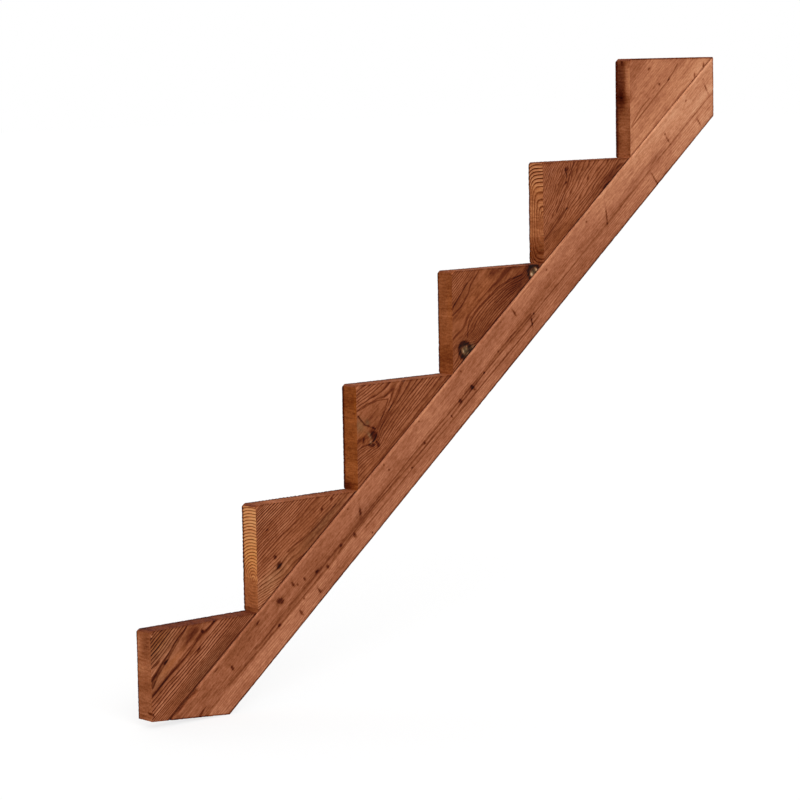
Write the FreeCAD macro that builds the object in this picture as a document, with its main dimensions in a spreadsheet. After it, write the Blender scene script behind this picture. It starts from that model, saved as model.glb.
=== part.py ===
# Built-up stair stringer: triangular step blocks screwed to the upper edge of a sloping rail.
# World frame: X up the flight, Y through the thickness, Z up, treads level.
# The origin is the toe of the seat cut, halfway through the thickness.
import FreeCAD, Part
import math
import os
import Sketcher

# Driving sizes in millimetres, angles in degrees
SIZES = (
    ("steps", "6"),
    ("rise", "184.15"),
    ("run", "228.6"),
    ("thickness", "38.1"),
    ("rail_width", "88.9"),
    ("block_width", "139.7"),
    ("edge_ease", "3.2"),
    ("toe_drop", "32"),
    ("seat_fall", "4.6"),
    ("screw_edge", "16"),
    ("screw_cover", "20"),
    ("screw_shank", "6.4"),
    ("screw_point", "9"),
    ("screw_clearance", "0.1"),
    ("head_diameter", "12.7"),
    ("head_angle", "90"),
    ("socket_across", "5"),
    ("socket_depth", "2.2"),
)

# Sizes that follow from them; lengths along the rail are counted from where its upper edge meets the
# line one full rise below the first tread
DERIVED = (
    ("slope", "atan(<<sizes>>.rise / <<sizes>>.run)"),
    ("pitch", "sqrt(<<sizes>>.rise ^ 2 + <<sizes>>.run ^ 2)"),
    ("toe_along", "<<sizes>>.toe_drop * sin(slope)"),
    ("toe_above", "<<sizes>>.toe_drop * cos(slope)"),
    ("heel_below", "toe_above + <<sizes>>.rail_width"),
    ("heel_along", "toe_along + heel_below / tan(slope + <<sizes>>.seat_fall * 1 deg)"),
    ("plumb_along", "pitch - <<sizes>>.rail_width * tan(slope)"),
    ("low_screw", "heel_along + <<sizes>>.screw_edge"),
    ("high_screw", "plumb_along - <<sizes>>.screw_edge"),
    ("screw_bite", "(pitch - high_screw) * tan(slope) - <<sizes>>.screw_cover"),
    ("hole_diameter", "<<sizes>>.screw_shank + 2 * <<sizes>>.screw_clearance"),
    ("head_flare", "(<<sizes>>.head_diameter - <<sizes>>.screw_shank) / 2"),
    ("head_height", "head_flare / tan(<<sizes>>.head_angle / 2 * 1 deg)"),
    ("saw_reach", "<<sizes>>.rise + <<sizes>>.rail_width + <<sizes>>.block_width"),
)

# How a sketch numbers its own origin and axes
ORIGIN_POINT = (-1, 1)
AXIS = {"X": -1, "Y": -2}

doc = FreeCAD.newDocument("stair_stringer")


def fill_sheet(name, rows, prefix):
    """A spreadsheet with one aliased cell for each named value."""
    sheet = doc.addObject("Spreadsheet::Sheet", name)
    for row, (alias, value) in enumerate(rows, start=1):
        sheet.set(f"A{row}", alias)
        sheet.set(f"B{row}", prefix + value)
        sheet.setAlias(f"B{row}", alias)
        doc.recompute()
    return sheet


sizes = fill_sheet("sizes", SIZES, "")
derived = fill_sheet("derived", DERIVED, "=")
STEPS = int(sizes.steps)


def new_body(label, step):
    """A body whose X axis runs along the rail's upper edge and starts at the given step's lower notch."""
    body = doc.addObject("PartDesign::Body", label)
    body.Label = label
    body.Placement = FreeCAD.Placement(FreeCAD.Vector(), FreeCAD.Rotation(FreeCAD.Vector(0, -1, 0), 1))
    body.setExpression("Placement.Rotation.Angle", "<<derived>>.slope")
    body.setExpression("Placement.Base.x", f"{step} * <<sizes>>.run")
    body.setExpression("Placement.Base.z", f"{step} * <<sizes>>.rise - <<sizes>>.toe_drop")
    return body


def new_sketch(body, name, role):
    """An empty sketch on one of the body's own origin planes."""
    sketch = body.newObject("Sketcher::SketchObject", name)
    plane = next(feature for feature in body.Origin.OriginFeatures if feature.Role == role)
    sketch.AttachmentSupport = [(plane, "")]
    sketch.MapMode = "FlatFace"
    return sketch


def bound(sketch, constraint, expression):
    """Add a dimension to the sketch and bind it to the sheets."""
    index = sketch.addConstraint(constraint)
    sketch.setExpression(f"Constraints[{index}]", expression)


def draw_loop(sketch, corners):
    """Draw a closed loop of straight lines through the corners, given roughly; constraints place it."""
    count = len(corners)
    points = [FreeCAD.Vector(x, y, 0) for x, y in corners]
    for i in range(count):
        sketch.addGeometry(Part.LineSegment(points[i], points[(i + 1) % count]), False)
    for i in range(count):
        sketch.addConstraint(Sketcher.Constraint("Coincident", i, 2, (i + 1) % count, 1))


def draw_rectangle(sketch, width, height, upward):
    """Draw a rectangle that straddles the sketch's Y axis and stands on, or hangs from, its X axis."""
    side = 1 if upward else -1
    draw_loop(sketch, [(-1, 0), (1, 0), (1, side), (-1, side)])
    for line, direction in ((1, "Vertical"), (2, "Horizontal"), (3, "Vertical")):
        sketch.addConstraint(Sketcher.Constraint(direction, line))
    sketch.addConstraint(Sketcher.Constraint("PointOnObject", 0, 1, AXIS["X"]))
    sketch.addConstraint(Sketcher.Constraint("Symmetric", 0, 1, 0, 2, AXIS["Y"]))
    bound(sketch, Sketcher.Constraint("DistanceX", 0, 1, 0, 2, 2), width)
    first, last = (1, 2) if upward else (2, 1)
    bound(sketch, Sketcher.Constraint("DistanceY", 1, first, 1, last, 1), height)


def draw_circles(sketch, diameter):
    """Draw the two screw positions of one block, both on the X axis."""
    for circle, place in enumerate(("low_screw", "high_screw")):
        rough = FreeCAD.Vector(derived.get(place), 0, 0)
        sketch.addGeometry(Part.Circle(rough, FreeCAD.Vector(0, 0, 1), 1), False)
        sketch.addConstraint(Sketcher.Constraint("PointOnObject", circle, 3, AXIS["X"]))
        bound(sketch, Sketcher.Constraint("DistanceX", *ORIGIN_POINT, circle, 3, 1), f"<<derived>>.{place}")
        bound(sketch, Sketcher.Constraint("Diameter", circle, 1), diameter)


def dressed_board(body, width, start, length, above):
    """A length of dressed board with eased edges; its grain runs along X and it lies above or below X."""
    section = new_sketch(body, "section", "YZ_Plane")
    section.setExpression("AttachmentOffset.Base.z", start)
    draw_rectangle(section, "<<sizes>>.thickness", width, above)
    board = body.newObject("PartDesign::Pad", "board")
    board.Profile = section
    board.setExpression("Length", length)
    doc.recompute()
    along_grain = FreeCAD.Vector(1, 0, 0)
    long_edges = []
    for number, edge in enumerate(board.Shape.Edges, start=1):
        if abs(edge.tangentAt(edge.FirstParameter).dot(along_grain)) > 0.99:
            long_edges.append(f"Edge{number}")
    eased = body.newObject("PartDesign::Fillet", "eased_edges")
    eased.Base = (board, long_edges)
    eased.setExpression("Radius", "<<sizes>>.edge_ease")
    doc.recompute()


def saw_cut(body, name, along, above, heading):
    """Saw straight through the thickness; what lies to the right of the heading falls away."""
    volume = body.Shape.Volume
    kerf = new_sketch(body, name + "_line", "XZ_Plane")
    kerf.AttachmentOffset = FreeCAD.Placement(FreeCAD.Vector(), FreeCAD.Rotation(FreeCAD.Vector(0, 0, 1), 1))
    kerf.setExpression("AttachmentOffset.Base.x", along)
    kerf.setExpression("AttachmentOffset.Base.y", above)
    kerf.setExpression("AttachmentOffset.Rotation.Angle", heading)
    draw_rectangle(kerf, "2 * <<derived>>.saw_reach", "<<derived>>.saw_reach", False)
    cut = body.newObject("PartDesign::Pocket", name)
    cut.Profile = kerf
    cut.Type = "ThroughAll"
    cut.Midplane = True
    doc.recompute()
    if body.Shape.Volume >= volume:
        raise RuntimeError(f"{body.Label}: {name} cuts nothing")


def cut_seat(body):
    """The seat cut rests on the ground and falls a little towards the heel."""
    heading = "-<<derived>>.slope - <<sizes>>.seat_fall * 1 deg"
    saw_cut(body, "seat_cut", "<<derived>>.toe_along", "<<derived>>.toe_above", heading)


def body_axis(body, role):
    """One of the body's own origin axes, as a pattern's direction."""
    axis = next(feature for feature in body.Origin.OriginFeatures if feature.Role == role)
    return (axis, [""])


def repeat_up_rail(body, features):
    """Repeat features once for each step, along the rail."""
    pattern = body.newObject("PartDesign::LinearPattern", "per_step")
    pattern.Originals = features
    pattern.Direction = body_axis(body, "X_Axis")
    pattern.setExpression("Length", "(<<sizes>>.steps - 1) * <<derived>>.pitch")
    pattern.setExpression("Occurrences", "<<sizes>>.steps")
    body.Tip = pattern
    return pattern


def build_rail():
    """The rail: one dressed board below the blocks, cut to sit at its foot and plumb at its head."""
    body = new_body("rail", 0)
    length = "<<sizes>>.steps * <<derived>>.pitch + <<sizes>>.thickness"
    dressed_board(body, "<<sizes>>.rail_width", "0", length, False)
    cut_seat(body)
    saw_cut(body, "plumb_cut", "<<sizes>>.steps * <<derived>>.pitch", "0", "90 deg - <<derived>>.slope")

    # Countersunk screw holes, a pair below each block, bored from the lower edge
    places = new_sketch(body, "screw_places", "XY_Plane")
    places.setExpression("AttachmentOffset.Base.z", "-<<sizes>>.rail_width")
    draw_circles(places, "<<derived>>.hole_diameter")
    doc.recompute()
    holes = body.newObject("PartDesign::Hole", "screw_holes")
    holes.Profile = places
    holes.Reversed = True
    holes.DepthType = "ThroughAll"
    holes.HoleCutType = "Countersink"
    holes.HoleCutCustomValues = True
    holes.setExpression("Diameter", "<<derived>>.hole_diameter")
    holes.setExpression("HoleCutDiameter", "<<sizes>>.head_diameter")
    holes.setExpression("HoleCutCountersinkAngle", "<<sizes>>.head_angle * 1 deg")
    doc.recompute()
    repeat_up_rail(body, [holes])
    doc.recompute()
    return body


def build_block(step):
    """One step block: a wider dressed board, long edge down on the rail, mitred for riser and tread."""
    body = new_body(f"step_block_{step + 1}", step)
    length = "<<derived>>.pitch + 2 * <<sizes>>.thickness"
    dressed_board(body, "<<sizes>>.block_width", "-<<sizes>>.thickness", length, True)
    saw_cut(body, "riser_cut", "0", "0", "270 deg - <<derived>>.slope")
    saw_cut(body, "tread_cut", "<<derived>>.pitch", "0", "180 deg - <<derived>>.slope")
    if step == 0:
        cut_seat(body)

    # Blind pilot holes for the screws that come up through the rail
    places = new_sketch(body, "pilot_places", "XY_Plane")
    draw_circles(places, "<<derived>>.hole_diameter")
    pilots = body.newObject("PartDesign::Pocket", "pilot_holes")
    pilots.Profile = places
    pilots.Reversed = True
    pilots.setExpression("Length", "<<derived>>.screw_bite")
    doc.recompute()
    return body


def build_screws():
    """The timber screws: flat heads flush with the rail's lower edge, points inside the blocks."""
    body = new_body("block_screws", 0)
    profile = new_sketch(body, "profile", "XZ_Plane")
    profile.setExpression("AttachmentOffset.Base.x", "<<derived>>.low_screw")
    draw_loop(profile, [(0, -9), (2, -9), (1, -8), (1, 5), (0, 6)])
    for line in (0, 4):
        profile.addConstraint(Sketcher.Constraint("PointOnObject", line, 1, AXIS["Y"]))
    profile.addConstraint(Sketcher.Constraint("Horizontal", 0))
    profile.addConstraint(Sketcher.Constraint("Vertical", 2))
    bound(profile, Sketcher.Constraint("DistanceY", 0, 1, *ORIGIN_POINT, 9), "<<sizes>>.rail_width")
    bound(profile, Sketcher.Constraint("DistanceX", 0, 1, 0, 2, 2), "<<sizes>>.head_diameter / 2")
    bound(profile, Sketcher.Constraint("DistanceY", 1, 1, 1, 2, 1), "<<derived>>.head_height")
    bound(profile, Sketcher.Constraint("DistanceX", *ORIGIN_POINT, 2, 1, 1), "<<sizes>>.screw_shank / 2")
    bound(profile, Sketcher.Constraint("DistanceY", 3, 1, 3, 2, 1), "<<sizes>>.screw_point")
    bound(profile, Sketcher.Constraint("DistanceY", *ORIGIN_POINT, 3, 2, 6), "<<derived>>.screw_bite")
    screw = body.newObject("PartDesign::Revolution", "screw")
    screw.Profile = profile
    screw.ReferenceAxis = (profile, ["V_Axis"])
    screw.Angle = 360
    doc.recompute()

    # Six-sided driver socket in the head
    hexagon = new_sketch(body, "socket_outline", "XY_Plane")
    hexagon.setExpression("AttachmentOffset.Base.x", "<<derived>>.low_screw")
    hexagon.setExpression("AttachmentOffset.Base.z", "-<<sizes>>.rail_width")
    turns = [math.radians(60 * corner) for corner in range(6)]
    draw_loop(hexagon, [(math.cos(turn), math.sin(turn)) for turn in turns])
    circle = hexagon.addGeometry(Part.Circle(), True)
    hexagon.addConstraint(Sketcher.Constraint("Coincident", circle, 3, *ORIGIN_POINT))
    for line in range(6):
        hexagon.addConstraint(Sketcher.Constraint("PointOnObject", line, 1, circle))
    for line in range(5):
        hexagon.addConstraint(Sketcher.Constraint("Equal", line, line + 1))
    hexagon.addConstraint(Sketcher.Constraint("PointOnObject", 0, 1, AXIS["X"]))
    bound(hexagon, Sketcher.Constraint("Diameter", circle, 2), "<<sizes>>.socket_across / cos(30 deg)")
    socket = body.newObject("PartDesign::Pocket", "driver_socket")
    socket.Profile = hexagon
    socket.Reversed = True
    socket.setExpression("Length", "<<sizes>>.socket_depth")
    doc.recompute()

    # A second screw to each block, and a pair to each step
    pattern = repeat_up_rail(body, [screw, socket])
    pattern.Direction2 = body_axis(body, "X_Axis")
    pattern.setExpression("Length2", "<<derived>>.high_screw - <<derived>>.low_screw")
    pattern.Occurrences2 = 2
    doc.recompute()
    return body


pieces = [build_rail()]
pieces += [build_block(step) for step in range(STEPS)]
pieces.append(build_screws())
doc.recompute()

for obj in doc.Objects:
    if "Invalid" in obj.State or "Error" in obj.State:
        raise RuntimeError(f"{obj.Label}: {obj.getStatusString()}")
os.makedirs("parts", exist_ok=True)
for piece in pieces:
    if piece.Shape.isNull() or not piece.Shape.isValid():
        raise RuntimeError(f"{piece.Label}: no valid solid")
for piece in pieces:
    piece.Shape.exportStep(f"parts/{piece.Label}.step")
    print(piece.Label, len(piece.Shape.Solids), "solids", round(piece.Shape.Volume), "cubic millimetres")
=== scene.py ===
"""Looks of a built-up stair stringer: a dressed rail with six mitred step blocks along its upper edge.

The timber is softwood dipped in a red-brown preservative. Every board is worked out in board coordinates in
millimetres: s along the slope from the first step's lower notch, y through the thickness with the shown face
at minus half of it, and w square to the rail's upper edge.
"""
import math

import bpy
import numpy as np
from mathutils import Matrix, Vector


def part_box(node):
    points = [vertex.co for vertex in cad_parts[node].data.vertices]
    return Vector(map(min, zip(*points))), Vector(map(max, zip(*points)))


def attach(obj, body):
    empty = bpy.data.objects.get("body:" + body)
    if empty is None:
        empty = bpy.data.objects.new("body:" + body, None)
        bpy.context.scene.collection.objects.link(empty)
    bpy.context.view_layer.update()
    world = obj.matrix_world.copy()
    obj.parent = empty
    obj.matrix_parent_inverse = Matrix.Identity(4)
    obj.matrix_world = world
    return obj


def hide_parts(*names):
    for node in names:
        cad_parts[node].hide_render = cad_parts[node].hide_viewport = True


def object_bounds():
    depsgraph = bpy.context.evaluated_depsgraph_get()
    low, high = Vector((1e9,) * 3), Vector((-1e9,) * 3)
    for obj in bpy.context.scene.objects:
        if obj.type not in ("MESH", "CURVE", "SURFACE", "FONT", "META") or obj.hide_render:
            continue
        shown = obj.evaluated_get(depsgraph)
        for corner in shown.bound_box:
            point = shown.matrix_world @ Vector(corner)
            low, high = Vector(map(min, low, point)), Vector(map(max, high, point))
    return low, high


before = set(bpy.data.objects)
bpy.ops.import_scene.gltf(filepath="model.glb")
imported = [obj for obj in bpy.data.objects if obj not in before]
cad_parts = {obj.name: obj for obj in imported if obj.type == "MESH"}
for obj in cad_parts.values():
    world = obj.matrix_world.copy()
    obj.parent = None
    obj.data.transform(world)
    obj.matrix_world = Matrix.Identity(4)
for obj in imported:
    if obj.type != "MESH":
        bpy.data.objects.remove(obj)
cad_low, cad_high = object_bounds()

# Driving sizes in millimetres, from the frame where a node shows them
MM = 0.001
STEPS = 6
node_low, node_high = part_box("step_block_2")
RUN = (node_high.x - node_low.x) / MM
RISE = (node_high.z - node_low.z) / MM
HALF = (node_high.y - node_low.y) / 2 / MM
TOE_DROP = RISE - node_low.z / MM
RAIL_WIDTH = 88.9
BLOCK_WIDTH = 139.7
EASE = 3.2
SEAT_FALL = math.radians(4.6)
SCREW_EDGE = 16
HEAD_RADIUS = 6.35
SLOPE = math.atan2(RISE, RUN)
PITCH = math.hypot(RISE, RUN)

# Rows across the width, columns through the thickness and stations along the length of a board's mesh
RAIL_GRID = (34, 16, 780)
BLOCK_GRID = (150, 24, 96)
CORNER_POINTS = 6

# Waves in one smooth noise
WAVES = 24


# Board shapes

def to_frame(board):
    """Board points to frame points in metres: s and w are turned by the slope into X and Z, y stays Y."""
    s, y, w = board.T
    x = s * math.cos(SLOPE) - w * math.sin(SLOPE)
    z = s * math.sin(SLOPE) + w * math.cos(SLOPE) - TOE_DROP
    return np.column_stack((x, y, z)) * MM


def riser_cut(step):
    """The plumb line below a nose: s grows with w by the tangent of the slope."""
    return lambda w: (step - 1) * PITCH + w * math.tan(SLOPE)


def tread_cut(step):
    """The level line behind a nose: s falls with w by the cotangent of the slope."""
    return lambda w: step * PITCH - w / math.tan(SLOPE)


def seat_cut(w):
    """The cut that rests on the ground: through the toe, falling a little towards the heel."""
    toe_along = TOE_DROP * math.sin(SLOPE)
    toe_above = TOE_DROP * math.cos(SLOPE)
    return toe_along + (toe_above - w) / math.tan(SLOPE + SEAT_FALL)


def first_cut(w):
    """The lowest block's end: the riser line down to the toe, then the seat line."""
    return np.maximum(riser_cut(1)(w), seat_cut(w))


def ripple(board, lengths, seed):
    """Smooth noise of about -1 to 1: cosine waves of seeded directions, with wavelengths near lengths."""
    draw = np.random.default_rng(seed)
    waves = draw.normal(size=(WAVES, 3))
    waves /= np.linalg.norm(waves, axis=1, keepdims=True)
    waves *= 2 * math.pi * draw.uniform(0.6, 1.7, (WAVES, 1)) / np.asarray(lengths, float)
    shifts = draw.uniform(0, 2 * math.pi, WAVES)
    return np.cos(board @ waves.T + shifts).sum(1) / math.sqrt(WAVES)


def smooth(value, start, end):
    """A soft step from 0 at start to 1 at end: 3t squared less 2t cubed."""
    t = np.clip((value - start) / (end - start), 0, 1)
    return t * t * (3 - 2 * t)


def spot(s, w, at_s, at_w, reach_s, reach_w):
    """A soft spot: 1 at its centre, falling as a bell with the two reaches."""
    return np.exp(-((s - at_s) / reach_s) ** 2 - ((w - at_w) / reach_w) ** 2)


def sawn_board(low, width, start, end, grid):
    """A dressed board between two saw cuts.

    The section is a rectangle with quarter-circle corners, carried along s from start(w) to end(w);
    each cut is a grid of w against y between the section's sides. Shared rims are merged.
    Returns the points, the four-sided faces, and for each face 0 on the sides, 1 on the start cut and 2 on
    the end cut.
    """
    rows, columns, stations = grid
    turn = np.linspace(0, math.pi / 2, CORNER_POINTS)
    corner = EASE * (1 - np.cos(turn))
    middle = np.linspace(EASE, width - EASE, rows + 1)[1:-1]
    w = low + np.concatenate((corner, middle, width - corner[::-1]))
    into_corner = np.maximum(EASE - np.minimum(w - low, low + width - w), 0)
    inset = EASE - np.sqrt(np.maximum(EASE**2 - into_corner**2, 0))
    half = HALF - inset
    across = np.linspace(-1, 1, columns + 1)
    inner = across[1:-1]
    ring_y = np.concatenate((-half, inner * half[-1], half[::-1], inner[::-1] * half[0]))
    ring_w = np.concatenate((w, np.full_like(inner, w[-1]), w[::-1], np.full_like(inner, w[0])))
    along = np.linspace(0, 1, stations + 1)
    ring_start = start(ring_w)[:, None]
    side_s = ring_start + (end(ring_w)[:, None] - ring_start) * along
    side_y = np.repeat(ring_y[:, None], stations + 1, 1)
    side_w = np.repeat(ring_w[:, None], stations + 1, 1)
    cut_y = half[:, None] * across
    cut_w = np.repeat(w[:, None], columns + 1, 1)
    grids = ((side_s, side_y, side_w), (start(cut_w), cut_y, cut_w), (end(cut_w), cut_y, cut_w))
    points = np.concatenate([np.stack(part, -1).reshape(-1, 3) for part in grids])

    count = len(ring_y)
    ring, station = np.meshgrid(np.arange(count), np.arange(stations), indexing="ij")
    after = (ring + 1) % count
    step = stations + 1
    sides = np.stack((
        ring * step + station, ring * step + station + 1, after * step + station + 1, after * step + station,
    ), -1).reshape(-1, 4)
    row, column = np.meshgrid(np.arange(len(w) - 1), np.arange(columns), indexing="ij")
    first = row * (columns + 1) + column
    cut = np.stack((first, first + columns + 1, first + columns + 2, first + 1), -1).reshape(-1, 4)
    start_cut = cut + side_s.size
    end_cut = cut[:, ::-1] + side_s.size + cut_y.size
    faces = np.concatenate((sides, start_cut, end_cut))
    kinds = np.repeat((0, 1, 2), (len(sides), len(cut), len(cut)))
    found, back = np.unique(np.round(points, 4), axis=0, return_inverse=True)
    return found, back.reshape(-1)[faces], kinds


# Growth rings and marks

# The bell that rounds a drawn line, in millimetres
BELL_WIDTH = 9.0
BELL_REACH = 24
# Drift of the rings for each millimetre into the board, and the least height between two drawn lines
RING_DRIFT = 0.15
LEAST_GAP = 0.5
# Where there is no knot, in knot radii, and the millimetres in which a knot ends inside the board
KNOT_FAR = 6.0
KNOT_FADE = 4
# A knot's turn in degrees, its depth from the shown face or, if negative, from the back, and its rim in
# radii, where they aren't given
KNOT_DEFAULTS = (0, 9, 1)
# Where there is no stain line, and how deep one goes, in millimetres
STAIN_FAR = 60.0
STAIN_DEPTH = 3


def drawn(s, line):
    """A line drawn through a few (s, height) points, rounded by a bell and read at each s."""
    fine = np.arange(math.floor(s.min()), math.ceil(s.max()) + 2.0)
    bell = np.exp(-(np.arange(-BELL_REACH, BELL_REACH + 1) / BELL_WIDTH) ** 2)
    heights = np.pad(np.interp(fine, *np.transpose(line)), BELL_REACH, "edge")
    return np.interp(s, fine, np.convolve(heights, bell / bell.sum(), "valid"))


def heart_rings(board, heart):
    """Rings round a heart line: the distance from the line over the ring spacing, less a gap of wide rings.

    heart gives the line as (s, w) points, its depth y, how much a distance through the thickness counts,
    the power that shapes the rings, 2 for round and more for squarish, the spacing, and the gap as the rings
    missing and the two distances between which they are missing.
    """
    line, at_y, through, power, spacing, (missing, near, far) = heart
    s, y, w = board.T
    up = np.abs(w - drawn(s, line))
    reach = (up**power + (through * np.abs(y - at_y)) ** power) ** (1 / power)
    return reach / spacing - missing * smooth(reach, near, far)


def drawn_rings(board, lines, bow):
    """Rings that follow growth lines drawn on the shown face, evenly spaced between them.

    Each line is (s, w, ring) points. Inside the board the lines bow by bow millimetres and drift down.
    """
    s, y, w = board.T
    w = w + bow * (1 - (y / HALF) ** 2) + RING_DRIFT * (y + HALF)
    lines = [np.asarray(line, float) for line in lines]
    heights = [drawn(s, line[:, [0, 1]]) for line in lines]
    rings = [drawn(s, line[:, [0, 2]]) for line in lines]
    total = rings[0].copy()
    for lower, upper, ring_low, ring_high in zip(heights, heights[1:], rings, rings[1:]):
        total += (ring_high - ring_low) * np.clip((w - lower) / np.maximum(upper - lower, LEAST_GAP), 0, 1)
    return total


def knot_reach(board, knots):
    """Distance to the nearest knot in knot radii; a knot is a turned oval that goes a set depth inwards.

    A rim of 1 makes the whole oval dark, and a smaller rim only a band of that share of the radius.
    """
    s, y, w = board.T
    nearest = np.full(len(board), KNOT_FAR)
    for knot in knots:
        at_s, at_w, long, high, turn, depth, rim = (*knot, *KNOT_DEFAULTS[len(knot) - 4:])
        c, d = math.cos(math.radians(turn)), math.sin(math.radians(turn))
        along = (s - at_s) * c + (w - at_w) * d
        over = (w - at_w) * c - (s - at_s) * d
        away = np.abs(np.hypot(along / long, over / high) - 1 + rim) / rim
        sunk = HALF + y * (1 if depth > 0 else -1)
        nearest = np.minimum(nearest, away + np.maximum(sunk - abs(depth), 0) / KNOT_FADE)
    return nearest


def back_knots(count, start, end, low, high, seed):
    """Pin knots for the hidden face: seeded places between the limits, each with its own size and turn."""
    draw = np.random.default_rng(seed)
    limits = ((start, end), (low, high), (1.8, 4.5), (1.8, 3.6), (-30, 30))
    return [(*knot, -9) for knot in np.column_stack([draw.uniform(*limit, count) for limit in limits])]


def stain_lines(board, lines):
    """Height above each of up to three drawn stain lines, in millimetres, pushed far off past their ends."""
    s, y, w = board.T
    offsets = np.full((len(board), 3), STAIN_FAR)
    for column, line in enumerate(lines):
        line_s, line_w = np.asarray(line, float).T
        gap = w - np.interp(s, line_s, line_w)
        past = np.maximum(line_s[0] - s, 0) + np.maximum(s - line_s[-1], 0)
        past = past + np.maximum(y + HALF - STAIN_DEPTH, 0)
        offsets[:, column] = gap + np.where(gap < 0, -1, 1) * past
    return offsets


# Materials

def linear(colour):
    """An sRGB hex colour as linear red, green, blue and alpha."""
    parts = [int(colour[i:i + 2], 16) / 255 for i in (1, 3, 5)]
    return [p / 12.92 if p <= 0.04045 else ((p + 0.055) / 1.055) ** 2.4 for p in parts] + [1.0]


def add_node(tree, kind, inputs=(), stops=(), **settings):
    """Adds a node, sets its settings and colour stops, and gives each input a value or a link."""
    made = tree.nodes.new(kind)
    for name, value in settings.items():
        setattr(made, name, value)
    for spare in range(len(stops) - 2):
        made.color_ramp.elements.new(0.5)
    for element, (position, colour) in zip(made.color_ramp.elements if stops else (), stops):
        element.position = position
        element.color = linear(colour)
    for name, value in dict(inputs).items():
        if isinstance(value, bpy.types.NodeSocket):
            tree.links.new(value, made.inputs[name])
        else:
            made.inputs[name].default_value = value
    return made


def new_material(name):
    """An empty node material and its tree."""
    material = bpy.data.materials.new(name)
    material.use_nodes = True
    material.node_tree.nodes.clear()
    return material, material.node_tree


# Softwood dipped in red-brown preservative: browns from dark knots to pale fibre
TIMBER_BROWNS = (
    (0.00, "#180200"), (0.09, "#3c0a00"), (0.19, "#59230d"), (0.27, "#71361c"), (0.34, "#844829"),
    (0.42, "#9c5b3c"), (0.50, "#b26f4f"), (0.58, "#c7845f"), (0.66, "#db9a75"), (0.74, "#e0a880"),
)
# Hard knot wood that took no preservative: grey, with cream where it was planed
BARE_GREYS = ((0.00, "#20140c"), (0.20, "#4a3624"), (0.50, "#8e7350"), (0.85, "#dccbaa"))
# Across one ring: plain early wood, a narrow dark band of late wood, then a pale ridge
RING_SHAPE = (
    (0.0, "#505050"), (0.38, "#707070"), (0.54, "#c8c8c8"), (0.66, "#ffffff"), (0.78, "#c8c8c8"),
    (0.87, "#303030"), (0.95, "#000000"),
)
# From the middle of a knot outwards, in knot radii over three: a dark core and a fading halo
KNOT_SHAPE = ((0.0, "#ffffff"), (0.20, "#f4f4f4"), (0.33, "#dcdcdc"), (0.45, "#707070"), (0.80, "#000000"))
# Layers of grain with their long and fine sizes in millimetres; fibre is drawn as coarse as it needs to show
GRAIN_SIZES = (("fibre", 85, 3.2), ("blotch", 120, 26), ("fleck", 13, 3.6), ("fuzz", 3, 3))
# Mean of RING_SHAPE, so that ring lines keep a board's own tone, and how far fibre and blotches disturb them
RING_MEAN = 0.29
RING_WAVER = 0.3
RING_FADE = 1.8
# A stain line wanders, is full to its core and gone at its edge, in millimetres
LINE_WAVER = 2.5
LINE_CORE = 0.4
LINE_EDGE = 2.4
# A knot's rim wavers by knot radii, its shape spans three of them, and it darkens the wood
KNOT_WAVER = 1.6
KNOT_SPAN = 3.0
KNOT_DARKER = 0.25
# Strength of the flecks at which a dark dash starts and is full
DASH_START = 0.10
DASH_FULL = 0.24
# Tint of wood that took less of the red
GOLDEN = "#fff3d4"
# Depth of the fine relief in millimetres, and the shares of fibre and rings in it
RELIEF_DEPTH = 0.3
FIBRE_RELIEF = 0.6
RING_RELIEF = 0.5


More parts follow.
